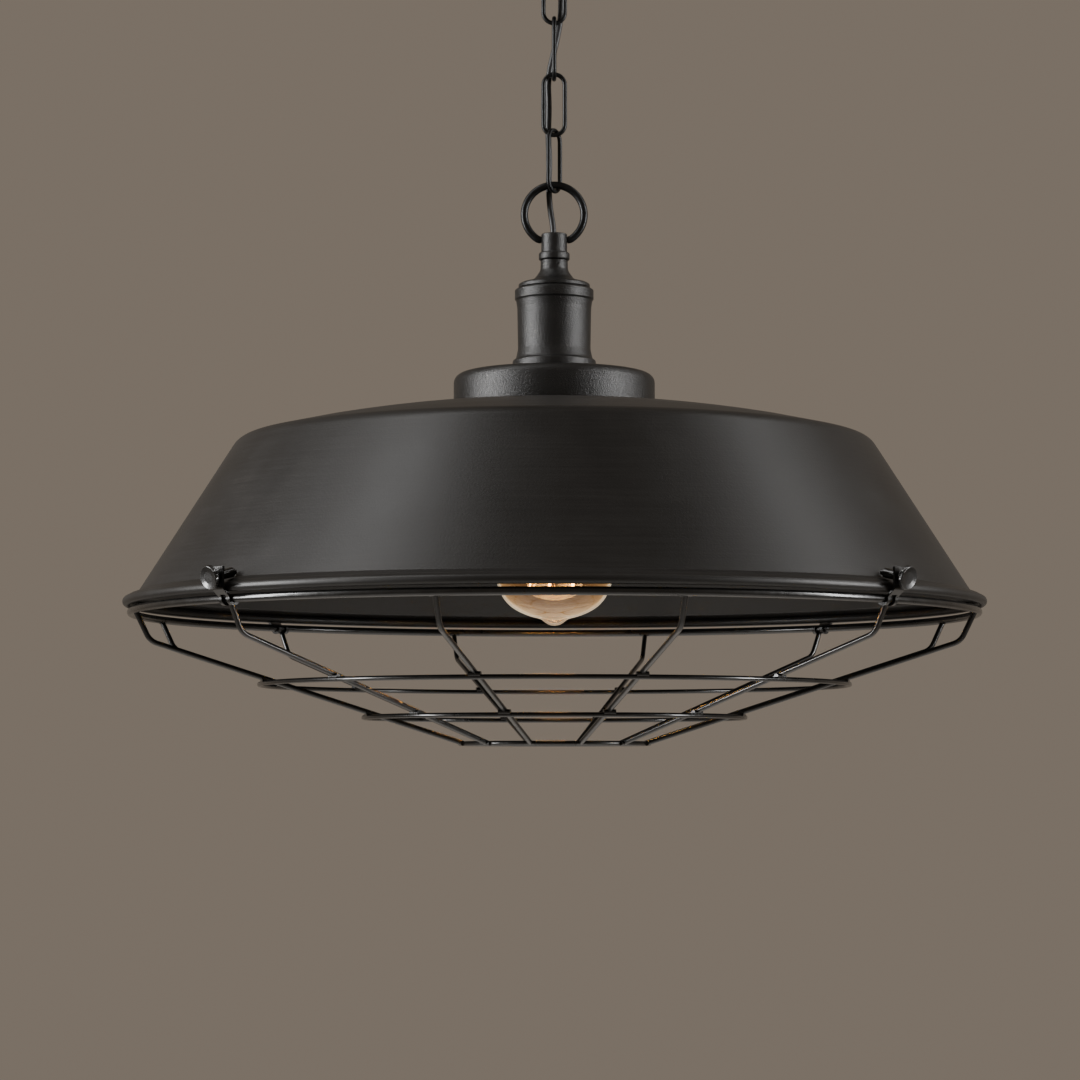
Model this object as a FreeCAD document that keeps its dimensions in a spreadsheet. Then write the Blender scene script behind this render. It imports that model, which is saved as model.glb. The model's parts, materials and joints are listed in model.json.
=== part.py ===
"""Chain-hung barn pendant light with a wire guard.

Millimetres, +Z up. The origin is the middle of the ceiling face of the mounting bracket. The lamp's own
pieces are drawn about the lamp's axis, with level 0 at the middle of the bead round the shade's rim, and
are set down below the ceiling by Levels.lamp_level.
"""

import FreeCAD, Part
import math
import os
import re

import Sketcher

V = FreeCAD.Vector
DOC = FreeCAD.newDocument("PendantLight")

# Driving dimensions, each written once.
SIZES = {
    # ceiling fitting
    "bracket_length": 110,
    "bracket_width": 18,
    "bracket_thickness": 1.6,
    "screw_spacing": 70,
    "screw_hole_radius": 2.1,
    "bracket_boss_wall": 3.1,
    "bracket_boss_height": 6,
    "canopy_radius": 62,
    "canopy_depth": 30,
    "canopy_wall": 1,
    "canopy_bend": 6,
    "stem_radius": 4.9,
    "thread_clearance": 0.1,
    "loop_base_radius": 8,
    "loop_base_height": 9.5,
    "loop_radius": 8,
    "loop_wire": 4,
    "bush_offset": 13,
    "bush_radius": 3.4,
    "bush_height": 8,
    # chain and loop ring
    "link_wire": 2.4,
    "link_inner_length": 31.1,
    "link_width": 14,
    "link_gap": 0.2,
    "link_twist": 33,
    "ring_radius": 16.2,
    "ring_wire": 4,
    "ring_stub": 0.43,
    "ring_end_bend": 3.5,
    "pin_radius": 1.6,
    "pin_clearance": 0.05,
    "pin_reach": 3.2,
    # holder
    "neck_shoulder": 2.1,
    "neck_height": 10.1,
    "neck_stem_radius": 4.9,
    "neck_stem_length": 17,
    "pin_depth": 3.1,
    "cord_bore_radius": 2.3,
    "collar_wall": 3.4,
    "collar_height": 4.4,
    "cap_in": 0.4,
    "cap_height": 15.4,
    "cap_edge": 2.2,
    "cap_neck_wall": 2.4,
    "cap_web": 4.5,
    "nut_wall": 3.1,
    "nut_height": 4,
    "cup_wall": 2,
    "cup_height": 46.2,
    "foot_out": 3,
    "foot_height": 7,
    "band_out": 1.6,
    "band_height": 6.4,
    "band_taper": 5,
    "skirt_wall": 1.1,
    "skirt_length": 26,
    "seat_clearance": 0.2,
    # lamp socket
    "socket_clearance": 0.4,
    "socket_wall": 2.9,
    "socket_height": 46,
    "shell_clearance": 0.35,
    "bulb_clearance": 0.35,
    "shell_wall": 0.5,
    "shell_height": 26,
    "contact_radius": 4,
    "terminal_offset": 9,
    "terminal_radius": 2.6,
    "terminal_height": 2.4,
    # shade
    "rim_radius": 230,
    "bead_diameter": 5,
    "shade_wall": 1,
    "foot_in": 8.2,
    "foot_level": 5,
    "shoulder_radius": 170,
    "shoulder_level": 87,
    "shoulder_bend": 11,
    "dome_radius": 700,
    "flange_radius": 54.3,
    "flange_height": 19,
    "flange_wall": 2,
    "flange_bend": 5,
    "nut_ring_wall": 7.3,
    "nut_ring_height": 5,
    # guard
    "guard_gap": 1,
    "guard_ring_wire": 4.2,
    "guard_ring_in": 4.6,
    "rib_wire": 2.8,
    "hoop_wire": 2.5,
    "knee_in": 8,
    "knee_drop": 16.4,
    "knee_bend": 9,
    "guard_depth": 69,
    "guard_end_radius": 50,
    "upper_hoop_radius": 157.5,
    "lower_hoop_radius": 102,
    "weld_depth": 0.3,
    # clamps
    "strip_thickness": 1.2,
    "hook_width": 8,
    "hook_slot": 3.6,
    "hook_clearance": 0.1,
    "plate_out": 5,
    "plate_rise": 4.4,
    "screw_level": 5.2,
    "screw_tilt": 13,
    "boss_wall": 1,
    "boss_gap": 2,
    "stud_radius": 1.5,
    "stud_clearance": 0.05,
    "stud_tip_gap": 0.3,
    "knob_radius": 6,
    "knob_thickness": 2.6,
    "hub_wall": 2,
    "hub_length": 2.4,
    "knob_gap": 0.2,
    # bulb
    "bulb_radius": 32,
    "bulb_length": 143,
    "bulb_depth": 39.5,
    "glass_wall": 0.8,
    "cap_shell_radius": 13.1,
    "cap_shell_wall": 0.4,
    "cap_shell_height": 21,
    "insulator_height": 4,
    "contact_thickness": 1.4,
    "bulb_contact_radius": 4.5,
    "bulb_neck_in": 1.3,
    "stem_glass_radius": 3,
    "filament_radius": 0.3,
    "filament_low_radius": 15,
    "filament_high_radius": 9,
    "filament_rise": 21.3,
    "filament_span": 60,
    "support_radius": 0.4,
    "contact_gap": 0.2,
    # hanging
    "loop_drop": 55,
    "cord_radius": 1.6,
}

# Levels and radii that follow from them. Lamp levels are measured from the middle of the bead.
LEVELS = {
    "canopy_base": "-canopy_depth",
    "loop_centre": "-loop_drop + loop_radius - loop_wire / 2",
    "bracket_boss_radius": "stem_radius + bracket_boss_wall",
    "link_pitch": "link_inner_length - link_gap",
    "link_centre": "-loop_drop + link_gap - link_inner_length / 2",
    "ring_seat": "-loop_drop - 4 * link_pitch",
    "ring_centre": "ring_seat + link_gap - ring_radius + ring_wire / 2",
    "shell_radius": "cap_shell_radius + bulb_clearance + shell_wall",
    "socket_bore_radius": "shell_radius + shell_clearance",
    "socket_radius": "socket_bore_radius + socket_wall",
    "cup_bore_radius": "socket_radius + socket_clearance",
    "cup_radius": "cup_bore_radius + cup_wall",
    "skirt_radius": "cup_bore_radius + skirt_wall",
    "foot_radius": "cup_radius + foot_out",
    "band_radius": "cup_radius + band_out",
    "cap_radius": "cup_radius - cap_in",
    "bulb_neck_radius": "cap_shell_radius - bulb_neck_in",
    "nut_ring_radius": "skirt_radius + nut_ring_wall",
    "neck_radius": "neck_stem_radius + neck_shoulder",
    "cap_neck_radius": "neck_stem_radius + cap_neck_wall",
    "collar_radius": "neck_stem_radius + collar_wall",
    "nut_radius": "neck_stem_radius + nut_wall",
    "boss_radius": "stud_radius + boss_wall",
    "hub_radius": "stud_radius + hub_wall",
    "ring_rise": "ring_end_bend + sqrt((ring_radius - ring_end_bend)^2 - (neck_radius + ring_stub)^2)",
    "dome_level": "shoulder_level + dome_radius - sqrt(dome_radius^2 - shoulder_radius^2)",
    "bead_radius": "rim_radius - bead_diameter / 2",
    "wall_foot_radius": "rim_radius - foot_in",
    "flange_inside": "flange_radius - flange_wall",
    "flange_base": "dome_level - dome_radius + sqrt(dome_radius^2 - flange_inside^2)",
    "cup_base": "flange_base + flange_height",
    "cup_top": "cup_base + cup_height",
    "cap_top": "cup_top + cap_height",
    "collar_top": "cap_top + collar_height",
    "neck_top": "collar_top + neck_height",
    "pin_level": "neck_top - pin_depth",
    "lamp_level": "ring_centre - ring_rise - pin_level",
    "skirt_base": "cup_base - skirt_length",
    "bulb_top": "cup_top - bulb_depth",
    "bulb_tip": "bulb_top - bulb_length",
    "filament_low": "bulb_tip + filament_rise",
    "filament_high": "filament_low + filament_span",
    "flange_seat": "dome_level - dome_radius + sqrt((dome_radius - shade_wall)^2 - nut_ring_radius^2)",
    "socket_ceiling": "bulb_top + contact_gap + contact_radius",
    "guard_level": "-(bead_diameter + guard_ring_wire) / 2 - guard_gap",
    "guard_radius": "rim_radius - guard_ring_in",
    "knee_radius": "guard_radius - knee_in",
    "knee_level": "guard_level - knee_drop",
    "guard_base": "guard_level - guard_depth",
    "rib_slope": "(knee_level - guard_base) / (knee_radius - guard_end_radius)",
    "rib_length": "sqrt((knee_level - guard_base)^2 + (knee_radius - guard_end_radius)^2)",
    "hoop_offset": "(rib_wire + hoop_wire) / 2 - weld_depth",
    "hoop_step": "hoop_offset * rib_length / (knee_radius - guard_end_radius)",
    "plate_radius": "bead_radius + plate_out",
    "hook_radius": "(guard_ring_wire + strip_thickness) / 2 + hook_clearance",
    "stud_reach": "(plate_radius - wall_foot_radius - stud_tip_gap) / cos(screw_tilt)",
    "boss_length": "stud_reach - boss_gap",
    "knob_inside": "strip_thickness / 2 / cos(screw_tilt) + hub_radius * tan(screw_tilt) + knob_gap",
}

SHEET_OF = {name: "Sizes" for name in SIZES} | {name: "Levels" for name in LEVELS}
LAMP = "lamp_level"
ONE = V(0, 0, 1)


def bound(formula):
    """A formula in plain names, with each name led by the sheet that holds it."""
    return re.sub(r"[a-z_]+", lambda word: f"{SHEET_OF[word[0]]}.{word[0]}" if word[0] in SHEET_OF else word[0],
                  str(formula))


def size(formula):
    """The number that a formula has now."""
    return float(DOC.Sizes.evalExpression(bound(formula)))


def fill_sheets():
    """The sheet of driving dimensions, and the sheet of what follows from them."""
    sizes = DOC.addObject("Spreadsheet::Sheet", "Sizes")
    for row, (name, number) in enumerate(SIZES.items(), 1):
        sizes.set(f"A{row}", name)
        sizes.set(f"B{row}", str(number))
        sizes.setAlias(f"B{row}", name)
    levels = DOC.addObject("Spreadsheet::Sheet", "Levels")
    for row, name in enumerate(LEVELS, 1):
        levels.set(f"A{row}", name)
        levels.setAlias(f"B{row}", name)
    for row, formula in enumerate(LEVELS.values(), 1):
        levels.set(f"B{row}", "=" + bound(formula).replace("Levels.", ""))
    DOC.recompute()


def tie(thing, **formulas):
    """Binds properties of an object to the sheets. Two underscores stand for a dot."""
    for name, formula in formulas.items():
        thing.setExpression(name.replace("__", "."), bound(formula))


def place(thing, level=None, turn=0, lift="0"):
    """Sets a sub-part down at a level, turned about the vertical axis."""
    thing.Placement = FreeCAD.Placement(V(0, 0, 0), FreeCAD.Rotation(ONE, turn))
    if level:
        thing.setExpression("Placement.Base.z", bound(f"{level} + {lift}"))
    return thing


def named(thing, name):
    thing.Label = name
    return thing


def new_body(name):
    return named(DOC.addObject("PartDesign::Body", name), name)


def new_sketch(body, name, role):
    """A sketch on one of the body's own origin planes."""
    sketch = body.newObject("Sketcher::SketchObject", name)
    plane = next(face for face in body.Origin.OriginFeatures if face.Role == role)
    sketch.AttachmentSupport = [(plane, "")]
    sketch.MapMode = "FlatFace"
    return sketch


def pin_point(sketch, geometry, end, across, up):
    """Ties a point of a sketch to formulas for its two coordinates."""
    for kind, formula in (("DistanceX", across), ("DistanceY", up)):
        index = sketch.addConstraint(Sketcher.Constraint(kind, -1, 1, geometry, end, size(formula)))
        sketch.setExpression(f"Constraints[{index}]", bound(formula))


def tie_radius(sketch, geometry, formula):
    index = sketch.addConstraint(Sketcher.Constraint("Radius", geometry, size(formula)))
    sketch.setExpression(f"Constraints[{index}]", bound(formula))


def add_arc(sketch, centre, start, end):
    """An arc the short way round from start to end: its index, and its ends at start and end."""
    first = math.atan2(start.y - centre.y, start.x - centre.x)
    last = math.atan2(end.y - centre.y, end.x - centre.x)
    left = (last - first) % (2 * math.pi) < math.pi
    low, high = (first, last) if left else (last, first)
    if high < low:
        high += 2 * math.pi
    circle = Part.Circle(centre, ONE, (start - centre).Length)
    index = sketch.addGeometry(Part.ArcOfCircle(circle, low, high), False)
    return index, (1 if left else 2), (2 if left else 1)


def draw(sketch, corners, closed=True):
    """Straight lines through corners (across, up), each with an optional radius that rounds it."""
    spots = [V(size(corner[0]), size(corner[1]), 0) for corner in corners]
    count = len(corners)
    bends = {}
    for at, corner in enumerate(corners):
        inner = closed or 0 < at < count - 1
        if len(corner) < 3 or not inner:
            continue
        back = (spots[at - 1] - spots[at]).normalize()
        on = (spots[(at + 1) % count] - spots[at]).normalize()
        half = back.getAngle(on) / 2
        radius = size(corner[2])
        reach = radius / math.tan(half)
        centre = spots[at] + (back + on).normalize() * (radius / math.sin(half))
        bends[at] = (spots[at] + back * reach, spots[at] + on * reach, centre)
    lines = []
    for at in range(count if closed else count - 1):
        after = (at + 1) % count
        start = bends[at][1] if at in bends else spots[at]
        end = bends[after][0] if after in bends else spots[after]
        lines.append(sketch.addGeometry(Part.LineSegment(start, end), False))
    for at, corner in enumerate(corners):
        before = lines[at - 1] if closed or at else None
        line = lines[at] if at < len(lines) else None
        if at in bends:
            start, end, centre = bends[at]
            arc, first, last = add_arc(sketch, centre, start, end)
            point = sketch.addGeometry(Part.Point(spots[at]), True)
            sketch.addConstraint([
                Sketcher.Constraint("Tangent", before, 2, arc, first),
                Sketcher.Constraint("Tangent", arc, last, line, 1),
                Sketcher.Constraint("PointOnObject", point, 1, before),
                Sketcher.Constraint("PointOnObject", point, 1, line),
            ])
            tie_radius(sketch, arc, corner[2])
            pin_point(sketch, point, 1, corner[0], corner[1])
            continue
        if before is not None and line is not None:
            sketch.addConstraint(Sketcher.Constraint("Coincident", before, 2, line, 1))
        owner, end = (line, 1) if line is not None else (before, 2)
        pin_point(sketch, owner, end, corner[0], corner[1])


def turned(name, corners, level=None, lift="0"):
    """A body turned about the vertical axis from an outline of (radius, level) corners."""
    body = new_body(name)
    sketch = new_sketch(body, name + "_outline", "XZ_Plane")
    draw(sketch, corners)
    turning = body.newObject("PartDesign::Revolution", name + "_turn")
    turning.Profile = sketch
    turning.ReferenceAxis = (sketch, ["V_Axis"])
    turning.Angle = 360
    return place(body, level, lift=lift)


def tube(name, outside, inside, low, high, level=None):
    """A plain turned ring between two levels."""
    return turned(name, [(inside, low), (outside, low), (outside, high), (inside, high)], level)


def cut_round(body, name, role, radius, across, up, low, high):
    """A round hole through the body along the normal of one of its planes, between two offsets."""
    sketch = new_sketch(body, name, role)
    hole = sketch.addGeometry(Part.Circle(V(size(across), size(up), 0), ONE, size(radius)), False)
    tie_radius(sketch, hole, radius)
    pin_point(sketch, hole, 3, across, up)
    cut_through(body, sketch, name, low, high)


def cut_block(body, name, role, corners, low, high):
    """A straight-sided opening through the body along the normal of one of its planes."""
    sketch = new_sketch(body, name, role)
    draw(sketch, corners)
    cut_through(body, sketch, name, low, high)


def cut_through(body, sketch, name, low, high):
    tie(sketch, AttachmentOffset__Base__z=low)
    pocket = body.newObject("PartDesign::Pocket", name + "_cut")
    pocket.Profile = sketch
    pocket.Reversed = True
    tie(pocket, Length=f"({high}) - ({low})")
    body.Tip = pocket


def add_pad(body, sketch, name, length):
    pad = body.newObject("PartDesign::Pad", name)
    pad.Profile = sketch
    tie(pad, Length=length)
    return pad


def sweep(body, name, path, shape):
    """Carries a section along a path sketch of the same body. shape is a radius, or (thickness, width)."""
    DOC.recompute()
    section = body.newObject("Sketcher::SketchObject", name + "_section")
    section.AttachmentSupport = [(path, "Edge1")]
    section.MapMode = "NormalToEdge"
    if isinstance(shape, tuple):
        thick, wide = shape
        draw(section, [(f"{a} * {thick} / 2", f"{b} * {wide} / 2") for a, b in ((-1, -1), (1, -1), (1, 1), (-1, 1))])
    else:
        circle = section.addGeometry(Part.Circle(V(0, 0, 0), ONE, size(shape)), False)
        section.addConstraint(Sketcher.Constraint("Coincident", circle, 3, -1, 1))
        tie_radius(section, circle, shape)
    pipe = body.newObject("PartDesign::AdditivePipe", name + "_pipe")
    pipe.Profile = section
    pipe.Spine = path
    pipe.Mode = "Standard"
    return pipe


def hoop(name, radius, wire, height, level=LAMP):
    """A ring of round wire about the vertical axis."""
    ring = named(DOC.addObject("Part::Torus", name), name)
    tie(ring, Radius1=radius, Radius2=f"{wire} / 2")
    return place(ring, level, lift=height)


def shell(name, path, wall):
    """A sheet turned about the vertical axis: an open sketch of its outside, given a wall and turned."""
    path.Placement = FreeCAD.Placement(V(0, 0, 0), FreeCAD.Rotation(V(1, 0, 0), 90))
    skin = DOC.addObject("Part::Offset2D", name + "_section")
    skin.Source = path
    skin.Mode = "Skin"
    skin.Fill = True
    tie(skin, Value=wall)
    turning = named(DOC.addObject("Part::Revolution", name), name)
    turning.Source = skin
    turning.Axis = ONE
    turning.Angle = 360
    turning.Solid = True
    return turning


def make_ceiling_fitting():
    """Bracket, canopy, threaded loop and cord bush: what stays on the ceiling."""
    bracket = new_body("ceiling_bracket")
    strip = new_sketch(bracket, "bracket_strip", "XY_Plane")
    draw(strip, [(f"{a} * bracket_length / 2", f"{b} * bracket_width / 2")
                 for a, b in ((-1, -1), (1, -1), (1, 1), (-1, 1))])
    tie(strip, AttachmentOffset__Base__z="-bracket_thickness")
    add_pad(bracket, strip, "bracket_pad", "bracket_thickness")
    boss = new_sketch(bracket, "bracket_boss", "XY_Plane")
    circle = boss.addGeometry(Part.Circle(V(0, 0, 0), ONE, size("bracket_boss_radius")), False)
    boss.addConstraint(Sketcher.Constraint("Coincident", circle, 3, -1, 1))
    tie_radius(boss, circle, "bracket_boss_radius")
    tie(boss, AttachmentOffset__Base__z="-bracket_thickness - bracket_boss_height")
    add_pad(bracket, boss, "boss_pad", "bracket_boss_height")
    low = "-bracket_thickness - bracket_boss_height - 1"
    cut_round(bracket, "stem_hole", "XY_Plane", "stem_radius + thread_clearance", "0", "0", low, "-0.8")
    for side, at in (("left", "-screw_spacing / 2"), ("right", "screw_spacing / 2")):
        cut_round(bracket, f"{side}_screw_hole", "XY_Plane", "screw_hole_radius", at, "0", low, "1")
    place(bracket)

    canopy = turned("canopy", [
        ("stem_radius + thread_clearance", "canopy_base"),
        ("canopy_radius", "canopy_base", "canopy_bend"),
        ("canopy_radius", "-0.2"),
        ("canopy_radius - canopy_wall", "-0.2"),
        ("canopy_radius - canopy_wall", "canopy_base + canopy_wall", "canopy_bend - canopy_wall"),
        ("stem_radius + thread_clearance", "canopy_base + canopy_wall"),
    ])
    cut_round(canopy, "bush_hole", "XY_Plane", "bush_radius", "bush_offset", "0",
              "canopy_base - 1", "canopy_base + canopy_wall + 1")
    place(canopy)

    base = "canopy_base - loop_base_height"
    turned("canopy_loop_base", [
        ("0", base), ("loop_base_radius", base, "2"), ("loop_base_radius", "canopy_base"),
        ("stem_radius", "canopy_base"), ("stem_radius", "-bracket_thickness"), ("0", "-bracket_thickness")])
    eye = named(DOC.addObject("Part::Torus", "eye"), "eye_ring")
    tie(eye, Radius1="loop_radius", Radius2="loop_wire / 2")
    eye.Placement = FreeCAD.Placement(V(0, 0, 0), FreeCAD.Rotation(V(0, 1, 0), 90))
    tie(eye, Placement__Base__z="loop_centre")
    loop = named(DOC.addObject("Part::Fuse", "loop"), "canopy_loop")
    loop.Base = DOC.canopy_loop_base
    loop.Tool = eye

    bush = turned("cord_bush", [
        ("cord_radius", "canopy_base - bush_height / 2"),
        ("bush_radius + 1", "canopy_base - bush_height / 2", "1"),
        ("bush_radius + 1", "canopy_base"),
        ("bush_radius", "canopy_base"),
        ("bush_radius", "canopy_base + bush_height / 2"),
        ("cord_radius", "canopy_base + bush_height / 2"),
    ])
    tie(bush, Placement__Base__x="bush_offset")


def make_chain():
    """Four long links, each hanging in the one above and turned across it, and the loop ring."""
    twists = ("0", "90", "0", "90 - link_twist")
    for place_in_chain, twist in enumerate(twists):
        name = f"chain_link_{place_in_chain + 1}"
        body = new_body(name)
        path = new_sketch(body, name + "_path", "XZ_Plane")
        half, round_end = "(link_width - link_wire) / 2", "(link_width - link_wire) / 2 - 0.01"
        top = "(link_inner_length + link_wire) / 2"
        draw(path, [(f"-{half}", "0"), (f"-{half}", top, round_end), (half, top, round_end),
                    (half, f"-{top}", round_end), (f"-{half}", f"-{top}", round_end)])
        sweep(body, name, path, "link_wire / 2")
        place(body, "link_centre", lift=f"-{place_in_chain} * link_pitch")
        body.Placement.Rotation = FreeCAD.Rotation(ONE, size(twist))
        tie(body, Placement__Rotation__Angle=twist)

    body = new_body("loop_ring")
    path = new_sketch(body, "loop_ring_path", "XZ_Plane")
    draw_ring_path(path)
    sweep(body, "loop_ring", path, "ring_wire / 2")
    for side, across in (("left", "-1"), ("right", "1")):
        pin = new_sketch(body, f"{side}_pin", "YZ_Plane")
        circle = pin.addGeometry(Part.Circle(V(0, -size("ring_rise"), 0), ONE, size("pin_radius")), False)
        tie_radius(pin, circle, "pin_radius")
        pin_point(pin, circle, 3, "0", "-ring_rise")
        tie(pin, AttachmentOffset__Base__z=f"{across} * (neck_radius + 0.4)")
        pad = add_pad(body, pin, f"{side}_pin_pad", "pin_reach")
        pad.Reversed = across == "1"
    place(body, "ring_centre")


def draw_ring_path(sketch):
    """Most of a circle, with each end bent level so that its pin points along X into the neck."""
    radius, bend, rise = size("ring_radius"), size("ring_end_bend"), size("ring_rise")
    out = size("neck_radius + 0.3")
    drop = (rise - bend) / (radius - bend)
    side = math.sqrt(1 - drop * drop)
    for sign in (1, -1):
        centre = V(sign * (radius - bend) * side, bend - rise, 0)
        foot = V(centre.x, -rise, 0)
        end = V(sign * radius * side, -radius * drop, 0)
        line = sketch.addGeometry(Part.LineSegment(V(sign * out, -rise, 0), foot), False)
        arc, first, last = add_arc(sketch, centre, end, foot)
        half, low, high = add_arc(sketch, V(0, 0, 0), end, V(0, radius, 0))
        sketch.addConstraint([
            Sketcher.Constraint("Tangent", half, low, arc, first),
            Sketcher.Constraint("Tangent", arc, last, line, 2),
            Sketcher.Constraint("Horizontal", line),
            Sketcher.Constraint("Coincident", half, 3, -1, 1),
            Sketcher.Constraint("PointOnObject", half, high, -2),
        ])
        tie_radius(sketch, half, "ring_radius")
        tie_radius(sketch, arc, "ring_end_bend")
        pin_point(sketch, line, 1, f"{sign} * (neck_radius + 0.3)", "-ring_rise")


def make_holder():
    """Neck, collar, cap, cup and the nut ring that grips the shade, from the top down."""
    neck = turned("neck", [
        ("cord_bore_radius", "cap_top - neck_stem_length + collar_height"),
        ("neck_stem_radius", "cap_top - neck_stem_length + collar_height"),
        ("neck_stem_radius", "collar_top"),
        ("neck_radius", "collar_top"),
        ("neck_radius", "neck_top", "0.6"),
        ("cord_bore_radius", "neck_top"),
    ], LAMP)
    cut_round(neck, "pin_hole", "YZ_Plane", "pin_radius + pin_clearance", "0", "pin_level",
              "-neck_radius - 1", "neck_radius + 1")
    thread = "neck_stem_radius + thread_clearance"
    tube("lock_collar", "collar_radius", thread, "cap_top", "collar_top", LAMP)
    turned("holder_cap", [
        (thread, "cap_top"),
        ("cap_neck_radius", "cap_top"),
        ("cap_neck_radius", "cup_top + cap_edge + 1", "9"),
        ("cap_radius", "cup_top + cap_edge + 0.4"),
        ("cap_radius", "cup_top"),
        ("cup_bore_radius - seat_clearance", "cup_top"),
        ("cup_bore_radius - seat_clearance", "cup_top - band_height"),
        ("cup_bore_radius - 2", "cup_top - band_height"),
        ("cup_bore_radius - 2", "cup_top", "1.5"),
        ("nut_radius + 1.4", "cup_top"),
        ("nut_radius + 1.4", "cap_top - cap_web - nut_height - 2.2"),
        (thread, "cap_top - cap_web - nut_height - 2.2"),
    ], LAMP)
    tube("neck_nut", "nut_radius", thread, "cup_top - 1", "cup_top - 1 + nut_height", LAMP)
    turned("holder_cup", [
        ("cup_bore_radius", "skirt_base"),
        ("skirt_radius", "skirt_base"),
        ("skirt_radius", "cup_base"),
        ("foot_radius", "cup_base"),
        ("foot_radius", "cup_base + foot_height", "1.5"),
        ("cup_radius + 0.8", "cup_base + foot_height + 1.2"),
        ("cup_radius", "cup_base + foot_height + 5", "8"),
        ("cup_radius", "cup_top - band_height - band_taper", "4"),
        ("band_radius", "cup_top - band_height"),
        ("band_radius", "cup_top - 0.2"),
        ("cup_bore_radius", "cup_top - 0.2"),
    ], LAMP)
    tube("shade_nut_ring", "nut_ring_radius", "skirt_radius + thread_clearance",
         "flange_seat - nut_ring_height", "flange_seat", LAMP)


def make_socket():
    """Porcelain lamp socket with its threaded shell, its spring contact and its terminal screws."""
    top = "socket_ceiling"
    low = "socket_ceiling - socket_height + 20"
    turned("socket_body", [
        ("socket_bore_radius", low), ("socket_radius", low), ("socket_radius", f"{top} + 18", "2"),
        ("0", f"{top} + 18"), ("0", top), ("socket_bore_radius", top)], LAMP)
    tube("socket_shell", "shell_radius", "shell_radius - shell_wall", f"{top} - shell_height", f"{top} - 0.3", LAMP)
    turned("socket_contact", [
        ("0", "bulb_top + contact_gap"), ("contact_radius / 2", "bulb_top + contact_gap"),
        ("contact_radius", top), ("0", top)], LAMP)
    screws = []
    for side, sign in (("left", "-1"), ("right", "1")):
        screw = DOC.addObject("Part::Cylinder", f"{side}_terminal")
        tie(screw, Radius="terminal_radius", Height="terminal_height",
            Placement__Base__x=f"{sign} * terminal_offset", Placement__Base__z=f"{top} + 18")
        screws.append(screw)
    pair = named(DOC.addObject("Part::Compound", "terminals"), "terminal_screws")
    pair.Links = screws
    place(pair, LAMP)


def make_shade():
    """Spun shade with a domed top, a rolled bead at the rim, and the cast flange on top of it."""
    path = DOC.addObject("Sketcher::SketchObject", "shade_path")
    draw_shade_path(path)
    skin = shell("shade_skin", path, "shade_wall")
    bead = DOC.addObject("Part::Torus", "shade_bead")
    tie(bead, Radius1="bead_radius", Radius2="bead_diameter / 2")
    shade = named(DOC.addObject("Part::Fuse", "shade_whole"), "shade")
    shade.Base = skin
    shade.Tool = bead
    place(shade, LAMP)
    hole, inside = "skirt_radius + seat_clearance", "flange_inside"
    turned("shade_flange", [
        (inside, "flange_base"),
        ("flange_radius", "flange_base"),
        ("flange_radius", "cup_base - 0.8", "flange_bend"),
        ("foot_radius + 2", "cup_base"),
        (hole, "cup_base"),
        (hole, "cup_base - flange_wall"),
        (inside, "cup_base - flange_wall - 0.8", "flange_bend - flange_wall"),
    ], LAMP)


def draw_shade_path(sketch):
    """The shade's outer line: the dome from the hole out, the shoulder, the wall, and the brim to the bead."""
    curve, bend = size("dome_radius"), size("shoulder_bend")
    hub = V(0, size("dome_level") - curve, 0)
    top = V(size("skirt_radius + seat_clearance"), 0, 0)
    top.y = hub.y + math.sqrt(curve**2 - top.x**2)
    corner = V(size("shoulder_radius"), size("shoulder_level"), 0)
    foot = V(size("wall_foot_radius"), size("foot_level"), 0)
    down = (foot - corner).normalize()
    inward = V(down.y, -down.x, 0)
    # The shoulder's centre lies one bend inside the wall and one bend inside the dome.
    start = corner + inward * bend
    offset = start - hub
    along = -offset.dot(down) + math.sqrt(offset.dot(down)**2 - offset.dot(offset) + (curve - bend)**2)
    if abs(along) > curve / 2:
        along = -offset.dot(down) - math.sqrt(offset.dot(down)**2 - offset.dot(offset) + (curve - bend)**2)
    centre = start + down * along
    wall_top = centre - inward * bend
    dome_end = hub + (centre - hub).normalize() * curve
    dome, dome_first, dome_last = add_arc(sketch, hub, top, dome_end)
    arc, first, last = add_arc(sketch, centre, dome_end, wall_top)
    wall = sketch.addGeometry(Part.LineSegment(wall_top, foot), False)
    brim = sketch.addGeometry(Part.LineSegment(foot, V(size("bead_radius"), size("bead_diameter / 2"), 0)), False)
    point = sketch.addGeometry(Part.Point(corner), True)
    sketch.addConstraint([
        Sketcher.Constraint("PointOnObject", dome, 3, -2),
        Sketcher.Constraint("Tangent", dome, dome_last, arc, first),
        Sketcher.Constraint("Tangent", arc, last, wall, 1),
        Sketcher.Constraint("PointOnObject", point, 1, wall),
        Sketcher.Constraint("PointOnObject", point, 1, dome),
        Sketcher.Constraint("Coincident", wall, 2, brim, 1),
    ])
    tie_radius(sketch, dome, "dome_radius")
    tie_radius(sketch, arc, "shoulder_bend")
    index = sketch.addConstraint(Sketcher.Constraint("DistanceX", -1, 1, dome, dome_first, top.x))
    sketch.setExpression(f"Constraints[{index}]", bound("skirt_radius + seat_clearance"))
    pin_point(sketch, point, 1, "shoulder_radius", "shoulder_level")
    pin_point(sketch, wall, 2, "wall_foot_radius", "foot_level")
    pin_point(sketch, brim, 2, "bead_radius", "bead_diameter / 2 - 0.2")


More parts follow.
